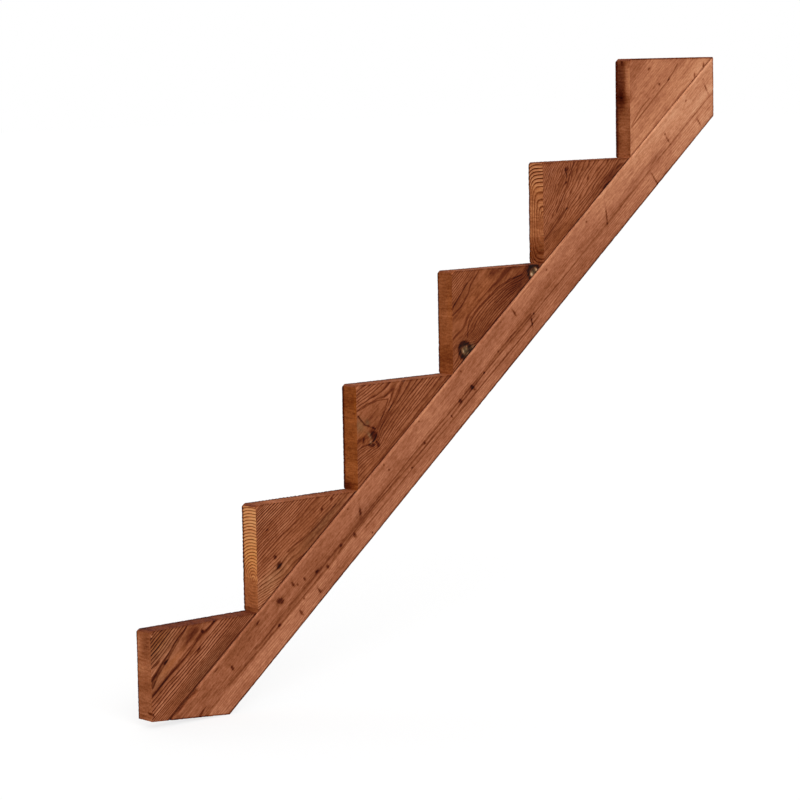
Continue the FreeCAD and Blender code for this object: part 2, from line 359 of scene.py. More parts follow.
def treated_softwood(name, run, fibre, blotch, fleck, fuzz, dash, stain, roughness, sheen, relief):
    """Stained softwood: its lightness is a sum of layers, and the run of browns turns that into colour.

    The layers are the board's own tone, ring lines, stain lines and knots from the mesh, then fibre streaks,
    slow blotches, short flecks and sawn fuzz, each a noise with a long and a fine size, and dark dashes
    where the flecks are strongest. run is the way the long size points: 0 along the board, 1 through it.
    """
    material, tree = new_material(name)
    place = add_node(tree, "ShaderNodeTexCoord").outputs["Object"]
    tone = add_node(tree, "ShaderNodeAttribute", attribute_name="tone").outputs["Vector"]
    tone = add_node(tree, "ShaderNodeSeparateXYZ", {"Vector": tone}).outputs
    layers = {}
    for layer, long, fine in GRAIN_SIZES:
        size = [fine * MM] * 3
        size[run] = long * MM
        turned = add_node(tree, "ShaderNodeMapping", {
            "Vector": place, "Rotation": (0, -SLOPE, 0), "Scale": size,
        }, vector_type="TEXTURE").outputs["Vector"]
        noise = add_node(tree, "ShaderNodeTexNoise", {
            "Vector": turned, "Scale": 1.0, "Detail": 3.0, "Roughness": 0.6,
        }).outputs["Fac"]
        layers[layer] = add_node(tree, "ShaderNodeMath", {0: noise, 1: 0.5}, operation="SUBTRACT").outputs[0]

    ring = add_node(tree, "ShaderNodeAttribute", attribute_name="ring").outputs["Fac"]
    ring = add_node(tree, "ShaderNodeMath", {
        0: layers["fibre"], 1: RING_WAVER, 2: ring,
    }, operation="MULTIPLY_ADD").outputs[0]
    ring = add_node(tree, "ShaderNodeMath", {0: ring}, operation="FRACT").outputs[0]
    late = add_node(tree, "ShaderNodeValToRGB", {"Fac": ring}, stops=RING_SHAPE).outputs["Color"]
    late = add_node(tree, "ShaderNodeMath", {0: late, 1: RING_MEAN}, operation="SUBTRACT").outputs[0]
    uneven = add_node(tree, "ShaderNodeMath", {
        0: layers["blotch"], 1: RING_FADE, 2: 1.0,
    }, operation="MULTIPLY_ADD").outputs[0]
    figure = add_node(tree, "ShaderNodeMath", {0: late, 1: tone["Z"]}, operation="MULTIPLY").outputs[0]
    figure = add_node(tree, "ShaderNodeMath", {0: figure, 1: uneven}, operation="MULTIPLY").outputs[0]

    lines = add_node(tree, "ShaderNodeAttribute", attribute_name="stain_lines").outputs["Vector"]
    lines = add_node(tree, "ShaderNodeSeparateXYZ", {"Vector": lines}).outputs
    stained = 0.0
    for axis in "XYZ":
        off = add_node(tree, "ShaderNodeMath", {
            0: layers["fleck"], 1: LINE_WAVER, 2: lines[axis],
        }, operation="MULTIPLY_ADD").outputs[0]
        off = add_node(tree, "ShaderNodeMath", {0: off}, operation="ABSOLUTE").outputs[0]
        line = add_node(tree, "ShaderNodeMapRange", {
            "Value": off, "From Min": LINE_CORE, "From Max": LINE_EDGE, "To Min": 1.0, "To Max": 0.0,
        }, interpolation_type="SMOOTHSTEP").outputs["Result"]
        stained = add_node(tree, "ShaderNodeMath", {0: line, 1: stained}, operation="MAXIMUM").outputs[0]

    knot = add_node(tree, "ShaderNodeAttribute", attribute_name="knot").outputs["Fac"]
    knot = add_node(tree, "ShaderNodeMath", {
        0: layers["fleck"], 1: KNOT_WAVER, 2: knot,
    }, operation="MULTIPLY_ADD").outputs[0]
    knot = add_node(tree, "ShaderNodeMath", {0: knot, 1: KNOT_SPAN}, operation="DIVIDE").outputs[0]
    knot = add_node(tree, "ShaderNodeValToRGB", {"Fac": knot}, stops=KNOT_SHAPE).outputs["Color"]
    dashes = add_node(tree, "ShaderNodeMapRange", {
        "Value": layers["fleck"], "From Min": DASH_START, "From Max": DASH_FULL,
    }, interpolation_type="SMOOTHSTEP").outputs["Result"]

    light = tone["X"]
    for layer, share in (
        (layers["fibre"], fibre), (layers["blotch"], blotch), (layers["fleck"], fleck),
        (layers["fuzz"], fuzz), (figure, -1.0), (dashes, -dash), (stained, -stain), (knot, -KNOT_DARKER),
    ):
        light = add_node(tree, "ShaderNodeMath", {
            0: layer, 1: share, 2: light,
        }, operation="MULTIPLY_ADD").outputs[0]
    brown = add_node(tree, "ShaderNodeValToRGB", {"Fac": light}, stops=TIMBER_BROWNS).outputs["Color"]
    golden = add_node(tree, "ShaderNodeMix", {
        "Factor": tone["Y"], "A": brown, "B": linear(GOLDEN),
    }, data_type="RGBA", blend_type="MULTIPLY", clamp_factor=False).outputs["Result"]
    bare = add_node(tree, "ShaderNodeAttribute", attribute_name="bare").outputs["Fac"]
    grey = add_node(tree, "ShaderNodeValToRGB", {"Fac": light}, stops=BARE_GREYS).outputs["Color"]
    colour = add_node(tree, "ShaderNodeMix", {
        "Factor": bare, "A": golden, "B": grey,
    }, data_type="RGBA").outputs["Result"]

    height = add_node(tree, "ShaderNodeMath", {
        0: layers["fibre"], 1: FIBRE_RELIEF, 2: layers["fuzz"],
    }, operation="MULTIPLY_ADD").outputs[0]
    height = add_node(tree, "ShaderNodeMath", {
        0: late, 1: RING_RELIEF, 2: height,
    }, operation="MULTIPLY_ADD").outputs[0]
    bump = add_node(tree, "ShaderNodeBump", {
        "Height": height, "Strength": relief, "Distance": RELIEF_DEPTH * MM,
    }).outputs["Normal"]
    shader = add_node(tree, "ShaderNodeBsdfPrincipled", {
        "Base Color": colour, "Roughness": roughness, "Specular IOR Level": sheen, "Normal": bump,
    }).outputs["BSDF"]
    add_node(tree, "ShaderNodeOutputMaterial", {"Surface": shader})
    return material


# Planing leaves crisp growth lines and a low sheen, and the saw a dull, furry surface
dressed_rail = treated_softwood(
    "dressed_rail_softwood", run=0, fibre=0.20, blotch=0.26, fleck=0.30, fuzz=0.16, dash=0.05, stain=0.115,
    roughness=0.7, sheen=0.08, relief=0.35)
dressed_block = treated_softwood(
    "dressed_block_softwood", run=0, fibre=0.25, blotch=0.26, fleck=0.30, fuzz=0.15, dash=0.08, stain=0.15,
    roughness=0.72, sheen=0.08, relief=0.4)
sawn_timber = treated_softwood(
    "sawn_end_softwood", run=1, fibre=0.15, blotch=0.28, fleck=0.28, fuzz=0.20, dash=0.07, stain=0.06,
    roughness=0.85, sheen=0.03, relief=0.8)


# Boards

# Departures from flat in millimetres: waves of the faces, their planing, dips at knots, worn corners,
# roughness left by the saw, splinters lost at the rims of a cut, and how far a cut lies inside its line
FACE_WAVE = 0.18
FACE_INSET = 0.12
KNOT_DIP = 0.25
CORNER_WEAR = 0.7
SAW_ROUGHNESS = 0.22
SPLINTER_LOSS = 0.4
CUT_INSET = 0.2
# Wavelengths of these along, through and across the board
FACE_LENGTHS = (90, 60, 40)
WEAR_LENGTHS = (16, 30, 30)
SAW_LENGTHS = (5, 4, 4)
SPLINTER_LENGTHS = (9, 9, 7)
# How far splinters reach in from the faces, and the width over which a cut's roughness starts
SPLINTER_REACH = 2.5
ROUGH_START = 8
# Edges that turn by more than this are drawn sharp
SHARP_ANGLE = math.radians(40)
# Lightness to which a saw cut darkens over its rim at the back
BACK_RIM_LIGHTNESS = 0.14


def make_board(name, shape, marks, dressed):
    """Turns a board's shape and marks into a mesh piece that stands for the CAD node of the same name."""
    points, faces, kinds = shape
    co = to_frame(points + marks["shift"])
    mesh = bpy.data.meshes.new(name)
    mesh.vertices.add(len(co))
    mesh.vertices.foreach_set("co", co.astype(np.float32).ravel())
    mesh.loops.add(faces.size)
    mesh.loops.foreach_set("vertex_index", faces.astype(np.int32).ravel())
    mesh.polygons.add(len(faces))
    mesh.polygons.foreach_set("loop_start", np.arange(0, faces.size, 4, dtype=np.int32))
    mesh.polygons.foreach_set("material_index", (kinds > 0).astype(np.int32))
    mesh.update(calc_edges=True)
    mesh.shade_smooth()
    mesh.set_sharp_from_angle(angle=SHARP_ANGLE)
    corners = faces.ravel()
    corner_kind = np.repeat(kinds, 4)
    for mark, kind, domain, field, values in (
        ("knot", "FLOAT", "POINT", "value", marks["knot"]),
        ("stain_lines", "FLOAT_VECTOR", "POINT", "vector", marks["lines"]),
        ("bare", "FLOAT", "CORNER", "value", np.where(corner_kind == 0, marks["bare"][corners], 0)),
        ("ring", "FLOAT", "CORNER", "value", np.stack(marks["rings"])[corner_kind, corners]),
        ("tone", "FLOAT_VECTOR", "CORNER", "vector", np.stack(marks["tones"])[corner_kind, corners]),
    ):
        attribute = mesh.attributes.new(mark, kind, domain)
        attribute.data.foreach_set(field, values.astype(np.float32).ravel())
    mesh.materials.append(dressed)
    mesh.materials.append(sawn_timber)
    piece = bpy.data.objects.new(name + "_board", mesh)
    bpy.context.scene.collection.objects.link(piece)
    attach(piece, "root")
    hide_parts(name)


def dressed_shift(points, low, width, start, end, ring, knot, ring_relief, seed):
    """Small departures from flat, in millimetres.

    The shown and hidden faces wave a little and dip at knots, the long eased corners are worn back unevenly,
    and the saw cuts are rough, with the hard rings standing proud by ring_relief and small splinters lost at
    both faces.
    """
    s, y, w = points.T
    shift = np.zeros_like(points)
    flank = smooth(np.abs(y), HALF - EASE, HALF)
    dip = FACE_INSET + KNOT_DIP * smooth(knot, 1.3, 0.5)
    shift[:, 1] = np.sign(y) * flank * (FACE_WAVE * ripple(points, FACE_LENGTHS, seed) - dip)
    edge = np.minimum(w - low, low + width - w)
    worn = smooth(edge, EASE, 0) * flank * np.maximum(ripple(points, WEAR_LENGTHS, seed + 1), 0)
    shift[:, 1] -= np.sign(y) * CORNER_WEAR * worn
    for line, facing in ((start, -1), (end, 1)):
        on_cut = np.abs(s - line(w)) < 0.01
        rough = SAW_ROUGHNESS * ripple(points, SAW_LENGTHS, seed + 2)
        rough += ring_relief * np.cos(2 * math.pi * ring)
        splinters = np.maximum(ripple(points, SPLINTER_LENGTHS, seed + 3), 0)
        rough -= SPLINTER_LOSS * smooth(np.abs(y), HALF - SPLINTER_REACH, HALF) * splinters
        shift[:, 0] += on_cut * facing * (rough - CUT_INSET) * smooth(edge, 0, ROUGH_START)
    return shift


def face_tone(across, up, base, patches):
    """Lightness, golden share and ring strength: a base with soft patches.

    A patch is its place across and up, its two reaches, and its three changes.
    """
    tone = np.tile(np.asarray(base, float), (len(across), 1))
    for at_across, at_up, reach_across, reach_up, *changes in patches:
        tone += spot(across, up, at_across, at_up, reach_across, reach_up)[:, None] * np.asarray(changes)
    tone[:, 2] = np.maximum(tone[:, 2], 0)
    return tone


def cut_tone(points, base, patches, rim):
    """Tone of a saw cut, with its patches in y and w, darkened over the rim at the back."""
    s, y, w = points.T
    tone = face_tone(y, w, base, patches)
    tone[:, 0] += np.minimum(BACK_RIM_LIGHTNESS - tone[:, 0], 0) * smooth(y, HALF - rim, HALF - rim / 2)
    return tone


# The rail: heart line just inside the shown face, pale and smooth above it, close rings below
RAIL_HEART = (((0, -50), (1760, -50)), -15, 1, 2, 3.8, (0, 0, 1))
# Lightness along the rail's two halves; its rise to the top end is partly wood tone, partly painted light
RAIL_UPPER_LIGHTNESS = (
    (0, 0.40), (210, 0.41), (460, 0.44), (760, 0.485), (1060, 0.46), (1360, 0.525), (1610, 0.60),
    (1760, 0.61),
)
RAIL_LOWER_LIGHTNESS = (
    (0, 0.48), (210, 0.495), (460, 0.47), (760, 0.477), (1060, 0.44), (1360, 0.43), (1610, 0.56),
    (1760, 0.58),
)
RAIL_STAINS = (
    ((170, -48), (240, -50), (312, -51), (453, -52.5), (600, -47), (703, -51), (830, -54), (938, -50),
     (1097, -53), (1344, -53), (1492, -52.5), (1567, -51), (1760, -52)),
    ((250, -43), (290, -44), (330, -42), (540, -44), (700, -43), (860, -47), (1000, -45), (1090, -48)),
    ((560, -62), (700, -60), (900, -63), (1100, -66)),
)
RAIL_KNOTS = (
    (194, -31, 2.2, 5), (282, -13, 5, 1.6), (340, -20, 4.5, 8, 25), (379, -18, 2.2, 4),
    (386, -27, 1.9, 1.9), (403, -31, 2.1, 3.5), (430, -41, 4, 2.4), (312, -51, 3, 2.4),
    (360, -70, 2.2, 6), (380, -56, 2, 1.8), (413, -70, 2, 5), (453, -52, 3.2, 3.4), (498, -46, 3.2, 2),
    (532, -54, 3, 4.2), (567, -32, 2.4, 7, -35), (550, -8, 2, 1.4), (659, -7, 1.9, 1.6),
    (662, -23, 2, 1.6), (703, -58, 1.8, 1.8), (753, -47, 2.4, 1.8), (768, -7, 1.7, 1.6),
    (830, -55, 1.5, 4), (863, -48, 3.6, 3.4), (563, -80, 1.8, 2), (898, -9, 1.7, 1.5),
    (900, -50, 3, 7, 15), (938, -50, 2.2, 1.7), (988, -44, 2.4, 1.7), (1027, -9, 1.7, 1.5),
    (1062, -17, 1.7, 7.5), (1083, -62, 1.7, 8.5, -25), (1097, -53, 2.2, 2), (1172, -13, 2.1, 1.6),
    (1305, -14, 2.1, 1.6), (1352, -40, 1.5, 11, -30), (1344, -53, 2.2, 2), (1492, -74, 1.7, 15),
    (1567, -27, 2, 2.8), (1566, -40, 1.3, 10), (1650, -16, 2.4, 1.7), (1652, -70, 1.5, 8),
    (1708, -33, 1.7, 11, -8), (1713, -14, 1.7, 1.5), (1745, -13, 1.7, 1.5), (170, -9, 7, 1.2, 0, 5),
    (100, -40, 12, 1.5, 3), *back_knots(26, 120, 1700, -80, -10, 71),
)
RAIL_PATCHES = (
    (900, -12, 2000, 26, 0, 0, -0.08), (898, -49, 18, 5, -0.10, -0.2, 0),
    (340, -20, 9, 9, -0.05, -0.4, 0), (1088, -57, 14, 8, -0.05, -0.3, 0),
    (430, -40, 16, 5, -0.05, -0.3, 0), (572, -38, 22, 12, -0.05, -0.4, 0),
)
RAIL_RINGS = 0.10
RAIL_CUT = (0.33, 0.3, 0.1)
RAIL_CUT_RIM = 6
# Changes of lightness: the band along the heart, a painted highlight on the upper corner, the darker
# lower edge and ends with painted shade along the lower edge, and the torn strip, darkened as painted
# shade, with its sliver
HEART_DARKER = 0.06
HEART_UNEVEN = 0.03
ARRIS_HIGHLIGHT = 0.05
RIM_DARKER = 0.24
TORN_SHADE = 0.14
SLIVER_LIGHTER = 0.05
# Where the lower half's tone takes over in w, where the heart band starts and stops in w, and where it
# grows and fades in s
LOWER_HALF = (-47, -60)
BAND_TOP = (-30, -44)
BAND_BOTTOM = (-56, -51)
BAND_GROWS = (150, 450)
BAND_FADES = (1760, 1350)
BAND_LEAST = 0.1
# How deep the strip is torn, how far the lower edge is planed, and how deep a screw head crushes it
TORN_DEPTH = 3
EDGE_INSET = 0.2
HEAD_DIMPLE = 0.5
# The torn strip's end along s, and its width below the upper edge between two places
TORN_END = 118
TORN_LINE = ((50, TORN_END), (1.5, 6))

top_cut = riser_cut(STEPS + 1)
rail_shape = sawn_board(-RAIL_WIDTH, RAIL_WIDTH, seat_cut, top_cut, RAIL_GRID)
rail_points = rail_shape[0]
rail_s, rail_y, rail_w = rail_points.T
rail_ring = heart_rings(rail_points, RAIL_HEART) + 0.5 * ripple(rail_points, (320, 60, 30), 31)

# Screws are driven flush from below: each head sits in a crushed dimple with a dark ring round it,
# partly iron stain and partly painted shade in the dimple
first_screws = np.array((seat_cut(-RAIL_WIDTH) + SCREW_EDGE, riser_cut(2)(-RAIL_WIDTH) - SCREW_EDGE))
screw_along = np.concatenate([first_screws + step * PITCH for step in range(STEPS)])
screw_away = np.hypot(np.abs(rail_s[:, None] - screw_along).min(1), rail_y)
lower_edge = smooth(rail_w, 1.5 - RAIL_WIDTH, -RAIL_WIDTH)
rail_knot = knot_reach(rail_points, RAIL_KNOTS)
# Dark ring round each screw head: partly iron stain, partly painted shade in the dimple
rail_knot = np.minimum(rail_knot, screw_away / HEAD_RADIUS + np.maximum(rail_w + RAIL_WIDTH, 0))

# A torn strip of the upper corner at the foot, which ends in a sharp step
torn_below = rail_w + np.interp(rail_s, *TORN_LINE)
torn_end = smooth(rail_s, TORN_END + 3, TORN_END) * smooth(rail_y, -12, -HALF)
torn = torn_end * smooth(torn_below, -1, 0)
sliver = torn_end * smooth(torn_below, -4, -2.5) * smooth(torn_below, -0.5, -1.5)

lower_half = smooth(rail_w, *LOWER_HALF)
rail_tone = face_tone(rail_s, rail_w, (0, 0, RAIL_RINGS), RAIL_PATCHES)
rail_tone[:, 0] += (1 - lower_half) * np.interp(rail_s, *np.transpose(RAIL_UPPER_LIGHTNESS))
rail_tone[:, 0] += lower_half * np.interp(rail_s, *np.transpose(RAIL_LOWER_LIGHTNESS))
heart_band = smooth(rail_w, *BAND_TOP) * smooth(rail_w, *BAND_BOTTOM)
heart_band *= BAND_LEAST + (1 - BAND_LEAST) * smooth(rail_s, *BAND_GROWS)
heart_band *= smooth(rail_s, *BAND_FADES)
rail_tone[:, 0] -= heart_band * (HEART_DARKER + HEART_UNEVEN * ripple(rail_points, (260, 60, 30), 33))

# The lower edge is darkened as painted shade on the corner that faces down, the sides darken towards the
# sawn ends, and the upper corner gets a painted highlight
# A painted highlight on the upper corner, which faces the key light
arris_highlight = smooth(rail_w, -4.5, -3.5) * smooth(rail_w, -0.2, -1.5)
rail_ends = np.minimum(rail_s - seat_cut(rail_w), top_cut(rail_w) - rail_s) * math.cos(SLOPE)
# The lower-edge part of this rim is painted shade on the corner that faces down
rail_rim = np.maximum(smooth(rail_w, 6 - RAIL_WIDTH, 3 - RAIL_WIDTH), smooth(rail_ends, 4, 1))
# The torn strip is darkened as painted shade in its recess
rail_tone[:, 0] += (
    ARRIS_HIGHLIGHT * arris_highlight - RIM_DARKER * rail_rim - TORN_SHADE * torn + SLIVER_LIGHTER * sliver)
rail_cut_tone = cut_tone(rail_points, RAIL_CUT, (), RAIL_CUT_RIM)
rail_shift = dressed_shift(
    rail_points, -RAIL_WIDTH, RAIL_WIDTH, seat_cut, top_cut, rail_ring, rail_knot, 0.05, 41)
rail_shift[:, 1] += torn * (TORN_DEPTH + ripple(rail_points, (30, 6, 3), 34))
dimple = HEAD_DIMPLE * smooth(screw_away, 1.6 * HEAD_RADIUS, HEAD_RADIUS)
rail_shift[:, 2] += lower_edge * (EDGE_INSET + dimple)
rail_marks = {
    "rings": (rail_ring, rail_ring, rail_ring),
    "knot": rail_knot,
    "bare": np.zeros(len(rail_points)),
    "lines": stain_lines(rail_points, RAIL_STAINS),
    "tones": (rail_tone, rail_cut_tone, rail_cut_tone),
    "shift": rail_shift,
}
make_board("rail", rail_shape, rail_marks, dressed_rail)

# How much darker a block's face is along the joint, as painted shade in the groove between block and
# rail, and along its tread, where the top block differs, the tone of the flat at the nose, darkened as
# painted shade to hold down the key light it catches, and how much the rings round a heart waver
JOINT_SHADE = 0.22
TOP_JOINT_SHADE = 0.15
TREAD_DARKER = 0.07
TOP_TREAD_DARKER = 0.3
NOSE_SHADED_TONE = (0.29, 0.3, 0)
HEART_WAVER = 0.07

# The step blocks, lowest first; s is counted from each block's own lower notch. face, riser and tread are
# lightness, golden share and ring strength. Patches on the face are in s and w, those on the riser in y
# and w. Where a heart is given, it makes the rings of the saw cuts. swell is how much wider than its
# dressed size the damp board is, in millimetres, which makes the flat at the nose smaller
BLOCKS = (
    {
        "drawn": (
            ((0, -1, 0), (293, -1, 0)),
            ((0, 27, 8.4), (293, 26, 8.4)),
            ((0, 52, 13), (100, 51, 13), (240, 49, 13), (293, 48, 13)),
            ((0, 57, 14), (51, 59, 14), (160, 62, 14), (192, 65, 14), (293, 66, 14)),
            ((0, 62, 14.35), (58, 67, 14.35), (75, 75, 14.35), (104, 80, 14.35), (144, 88, 14.35),
             (172, 93, 14.35), (293, 100, 14.35)),
            ((0, 90, 15.2), (76, 92, 15.2), (104, 93, 15.2), (170, 98, 15.2), (293, 104, 15.2)),
            ((0, 130, 22.2), (293, 131, 22.2)),
            ((0, 141, 24.6), (293, 142, 24.6)),
        ),
        "swell": 1.7,
        "bow": 5,
        "wave": 0.1,
        "face": (0.355, 0.1, 0.36),
        "riser": (0.435, 0.6, 0.05),
        "riser_rim": 3,
        "tread": (0.23, 0.1, 0.06),
        "tread_rim": 13,
        "patches": (
            (75, 60, 28, 3.5, -0.07, 0, 0), (175, 76, 22, 8, -0.20, -0.3, 0),
            (106, 71, 34, 6, 0.055, 1.0, 0), (112, 118, 30, 13, -0.068, 1.3, 0.12),
            (200, 8, 90, 18, -0.05, -0.2, -0.12), (60, 10, 60, 16, 0.025, 0.2, -0.06),
            # The last face patch, a bright dot by the nose, is a painted highlight on a small chip
            (95, 112, 9, 13, -0.06, -0.3, 0), (112, 136, 1.8, 1.8, 0.3, 0, 0),
        ),
        "riser_patches": (
            (13, 128, 6, 14, 0.10, 0, 0), (-6, 122, 11, 14, -0.08, -0.4, 0),
            (0, 40, 30, 25, -0.02, -0.2, 0),
        ),
        "stains": (
            ((58, 67), (75, 74.5), (104, 80), (144, 88), (172, 93.5)),
            ((48, 58.5), (100, 60.5), (160, 62), (192, 65)),
        ),
        "knots": (
            (105, 80.5, 5, 3.2), (191.5, 64, 3, 2.4), (165, 45.5, 5, 1.4), (92, 92, 8, 1.6),
            (29, 32, 1.4, 6), (109.5, 133, 1.5, 1.3),
        ),
        "bare": ((115, 110, 40, 26, 0.22), (75, 70, 40, 12, 0.15), (150, 10, 70, 14, 0.12)),
        "relief": 0.05,
    },
    {
        "drawn": (
            ((0, 0, 0), (20, -8, 0), (80, -26, 0), (293, -40, 0)),
            ((0, 30, 8), (15, 27, 8), (80, 5, 8), (140, -4, 8), (293, -10, 8)),
            ((0, 42, 11), (40, 38, 11), (85, 30, 11), (114, 31, 11), (150, 25, 11), (184, 20, 11),
             (293, 14, 11)),
            ((0, 66, 17), (85, 62, 17), (200, 50, 17), (293, 42, 17)),
            ((0, 70, 18), (79, 69, 18), (140, 64, 18), (214, 60, 18), (293, 56, 18)),
            ((0, 128, 32), (100, 126, 32), (160, 122, 32), (293, 112, 32)),
            ((0, 142, 36), (293, 130, 36)),
        ),
        "swell": 1.2,
        "bow": 4,
        "wave": 0.12,
        "heart": (((0, 44), (293, 40)), -8, 0.97, 2, 4.3, (0, 0, 1)),
        "face": (0.385, 0.25, 0.34),
        "riser": (0.595, 1.15, 0.5),
        "riser_rim": 5,
        "tread": (0.37, 0.3, 0.12),
        "tread_rim": 10,
        "patches": (
            (215, 12, 65, 13, -0.075, 0, -0.26), (150, 38, 120, 20, 0.015, 0.1, -0.20),
            (130, 12, 45, 12, 0, 0.2, -0.12), (50, 14, 60, 18, 0.055, 0.2, -0.06),
            (115, 116, 60, 18, -0.055, 0, 0.24), (85, 28, 4, 3.5, -0.14, 0, 0),
        ),
        "riser_patches": (
            (0, 20, 60, 32, -0.175, 0, -0.6), (0, 2, 40, 7, -0.13, -0.4, 0), (0, 75, 60, 22, 0, 0.4, 0),
        ),
        "stains": (((114, 32), (130, 31), (150, 25), (184, 20), (244, 18)),),
        "knots": (
            (85, 28, 6.5, 5, 40, 30), (88, 45.5, 3, 3.6), (215, 34, 3.5, 2, 20), (241, 32, 3, 1.8),
            (107, 94, 2.4, 1.2),
        ),
        "bare": ((62, 20, 45, 18, 0.22), (195, 13, 65, 11, 0.2)),
        "relief": 0.45,
    },
    {
        "drawn": (
            ((0, 0, 0), (293, 0, 0)),
            ((0, 16, 1.4), (60, 14, 1.4), (88, 10, 1.4), (130, 14, 1.4), (293, 16, 1.4)),
            ((0, 30, 4), (40, 30, 4), (70, 22, 4), (88, 18, 4), (110, 20, 4), (134, 25, 4), (251, 32, 4),
             (293, 34, 4)),
            ((0, 40, 6.2), (31, 40, 6.2), (69, 33, 6.2), (88, 25, 6.2), (101, 33, 6.2), (169, 40, 6.2),
             (293, 42, 6.2)),
            ((0, 46, 7.5), (39, 46, 7.5), (62, 42, 7.5), (80, 32, 7.5), (92, 32, 7.5), (101, 40, 7.5),
             (134, 45, 7.5), (169, 50, 8), (221, 60, 8.5), (293, 70, 8.5)),
            ((0, 54, 9.5), (50, 54, 9.5), (70, 42, 9.5), (90, 38, 9.5), (103, 50, 9.5), (151, 62, 10),
             (169, 66, 10), (200, 75, 10), (293, 95, 10)),
            ((0, 60, 10.5), (60, 60, 10.5), (80, 57, 11), (101, 55, 11), (130, 63, 11), (154, 73, 11),
             (200, 84, 10.3), (293, 105, 10)),
            ((0, 78, 11.2), (86, 80, 11.3), (120, 76, 11.3), (154, 75, 11), (200, 86, 10.3),
             (293, 107, 10)),
            ((0, 100, 11), (90, 107, 11), (115, 98, 11), (135, 90, 11), (150, 79, 11), (156, 77, 11),
             (200, 88, 10.3), (293, 109, 10)),
            ((0, 112, 9), (96, 116, 9), (129, 107, 9), (166, 99, 9.4), (200, 94, 10), (293, 112, 10)),
            ((0, 131, 5), (104, 133, 5), (154, 123, 5), (200, 115, 6), (293, 120, 6)),
            ((0, 145, 3), (293, 145, 3)),
        ),
        "swell": 1.5,
        "bow": -6,
        "wave": 0.1,
        "face": (0.355, 0.25, 0.26),
        "riser": (0.385, 1.6, 0.02),
        "riser_rim": 6.5,
        "tread": (0.35, 0.3, 0.06),
        "tread_rim": 13,
        "patches": (
            (69, 68, 14, 12, 0.03, 0.9, -0.1), (93.5, 76, 4, 5, -0.05, 0, 0),
            (120, 8, 200, 8, -0.01, 0, -0.1), (120, 78, 26, 14, 0.0, 0, -0.24),
            (225, 8, 60, 12, -0.06, 0, -0.1), (45, 14, 40, 12, 0.02, 0.2, -0.06),
            (82, 54, 2.5, 8, 0.17, 0, 0), (76, 43.5, 2.5, 2.5, 0.24, 0, 0),
            (76, 82, 11, 12, 0.03, 0.6, 0),
        ),
        "riser_patches": (
            # The second riser patch, dark at the riser's foot, is painted shade in the inner corner of the
            # notch
            (0, 128, 40, 16, -0.05, 0, 0), (9, 4, 13, 7, -0.22, -0.4, 0), (-16, 115, 5, 16, 0.03, 0.4, 0),
        ),
        "stains": (
            ((90, 106.5), (115, 98), (135, 89.5), (147, 80), (154, 74)),
            ((101, 51), (125, 60), (140, 66.5), (154, 74)),
            ((104, 46), (140, 56), (169, 66), (200, 76)),
        ),
        "knots": (
            (88.5, 47, 8, 8.5, 20, 60, 0.7), (86, 29, 3, 3.6), (72, 40, 1.6, 6, 35), (77, 38, 1.6, 6, 30),
            (86, 32, 1.8, 8), (85, 90, 1.4, 12, 4), (89.5, 71, 8.5, 1.3, -57), (97, 58.5, 6.5, 1.4, -66),
            (66, 58, 5, 1.6, 30),
        ),
        "bare": (
            (76, 82, 11, 14, 0.45), (93.5, 76, 4, 5, 0.5), (82, 54, 3, 9, 0.6), (76, 43.5, 2.5, 3, 0.7),
        ),
        "relief": 0.03,
    },
    {
        "drawn": (
            ((0, -2, 0), (293, -2, 0)),
            ((0, 14, 3.5), (30, 20, 3.5), (50, 33, 3.5), (68, 22, 3.5), (80, 8, 3.5), (100, 10, 3.5),
             (150, 14, 3.5), (220, 6, 3.5), (245, 2, 3.5), (293, 2, 3.5)),
            ((0, 24, 8), (30, 28, 8), (50, 37, 8), (70, 28, 8), (84, 22, 8), (110, 32, 8), (150, 34, 8),
             (200, 26, 8), (240, 10, 8), (255, 14, 8), (265, 23, 8), (293, 28, 8)),
            ((0, 34, 11), (30, 36, 11), (50, 42, 11), (70, 36, 11), (94, 49, 11), (144, 48, 11),
             (181, 45, 11), (215, 35, 11), (245, 24, 11), (265, 30, 11), (293, 34, 11)),
            ((0, 50, 12), (50, 54, 12), (94, 60, 12), (144, 62, 12), (200, 60, 12), (293, 50, 12)),
            ((0, 72, 12.1), (66, 82, 12.1), (91, 79, 12.1), (119, 85, 12.1), (134, 94, 12.1),
             (164, 99, 12.1), (293, 100, 12.1)),
            ((0, 86, 12.4), (69, 90, 12.4), (94, 95, 12.4), (131, 102, 12.4), (170, 106, 12.4),
             (293, 108, 12.4)),
            ((0, 103, 15), (84, 105, 15), (154, 109, 15), (293, 112, 15)),
            ((0, 128, 20.5), (100, 129, 20.5), (293, 131, 20.5)),
            ((0, 141, 23.5), (293, 142, 23.5)),
        ),
        "swell": 1.6,
        "bow": 6,
        "wave": 0.14,
        "face": (0.335, 0.4, 0.22),
        "riser": (0.40, 0.9, 0.03),
        "riser_rim": 4,
        "tread": (0.34, 0.4, 0.06),
        "tread_rim": 13,
        "patches": (
            (194, 22, 55, 20, -0.10, -0.2, 0.03), (232, 12, 42, 16, -0.10, 0, 0),
            (80, 6, 50, 10, -0.06, 0, 0), (187, 75, 9, 8, -0.15, -0.4, 0),
            (205, 66, 14, 6, -0.08, -0.4, 0), (130, 70, 80, 18, -0.02, 0.3, -0.13),
            (50, 12, 13, 14, -0.11, 0, -0.22), (44.5, 15, 1.4, 5, 0.5, 0, 0),
            (50, 5, 1.4, 1.6, 0.35, 0, 0), (53, 13, 1.3, 1.8, 0.38, 0, 0), (57, 17, 1.6, 1.3, 0.3, 0, 0),
            (60, 8, 1.4, 1.8, 0.36, 0, 0), (266, 6, 13, 12, -0.14, 0, -0.22),
